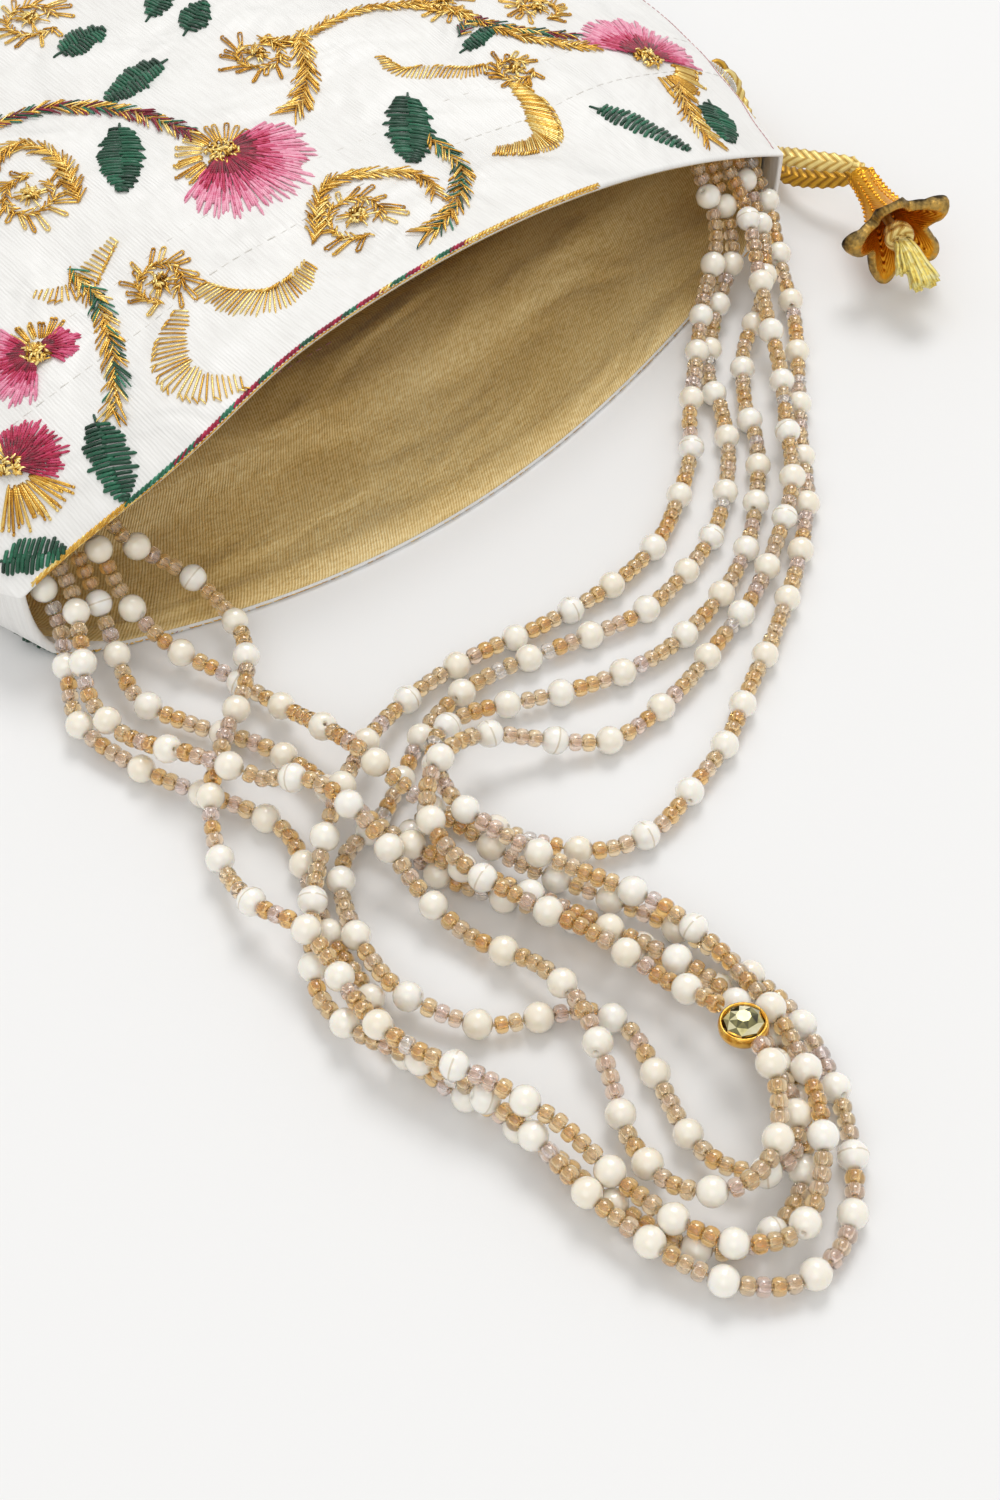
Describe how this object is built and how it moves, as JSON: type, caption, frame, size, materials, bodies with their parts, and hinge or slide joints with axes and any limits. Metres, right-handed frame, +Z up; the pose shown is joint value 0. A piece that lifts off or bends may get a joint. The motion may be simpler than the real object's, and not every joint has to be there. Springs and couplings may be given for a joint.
{
  "type": "drawstring pouch",
  "caption": "Embroidered satin drawstring pouch lying open, with a gold lining, a beaded strand handle and a braided cord ending in a metal flower and tassel.",
  "frame": {"origin": "on the floor under the middle of the pouch, without its cords", "axes": "+Z up from the floor, +Y from the open mouth towards the closed bottom, +X across the mouth towards the drawstring's ends"},
  "size_m": [0.2614, 0.4498, 0.0512],
  "materials": {
    "satin": "white satin weave",
    "lining": "gold tissue with fine ribs",
    "braid": "braided gold thread",
    "stamped_brass": "stamped and lightly tarnished",
    "beads": "pearls and lustred seed beads",
    "flower_thread": "pink silk thread",
    "leaf_thread": "green silk thread"
  },
  "bodies": {
    "root": {"front_panel": "satin", "back_panel": "satin", "lining_front": "lining", "lining_back": "lining", "handle_tab_right": "satin", "handle_tab_left": "satin", "drawstring": "braid", "flower_bell": "stamped_brass", "drawstring_knot": "braid", "tassel_fringe": "braid", "bead_strand_1": "beads", "bead_strand_2": "beads", "bead_strand_3": "beads", "bead_strand_4": "beads", "bead_strand_5": "beads", "gold_bead": "stamped_brass", "embroidery_flower_1": "flower_thread", "embroidery_flower_2": "flower_thread", "embroidery_flower_3": "flower_thread", "embroidery_flower_4": "flower_thread", "embroidery_flower_5": "flower_thread", "embroidery_leaf_01": "leaf_thread", "embroidery_leaf_02": "leaf_thread", "embroidery_leaf_03": "leaf_thread", "embroidery_leaf_04": "leaf_thread", "embroidery_leaf_05": "leaf_thread", "embroidery_leaf_06": "leaf_thread", "embroidery_leaf_07": "leaf_thread", "embroidery_leaf_08": "leaf_thread", "embroidery_leaf_09": "leaf_thread", "embroidery_leaf_10": "leaf_thread", "embroidery_leaf_11": "leaf_thread", "embroidery_leaf_12": "leaf_thread"}
  },
  "joints": []
}
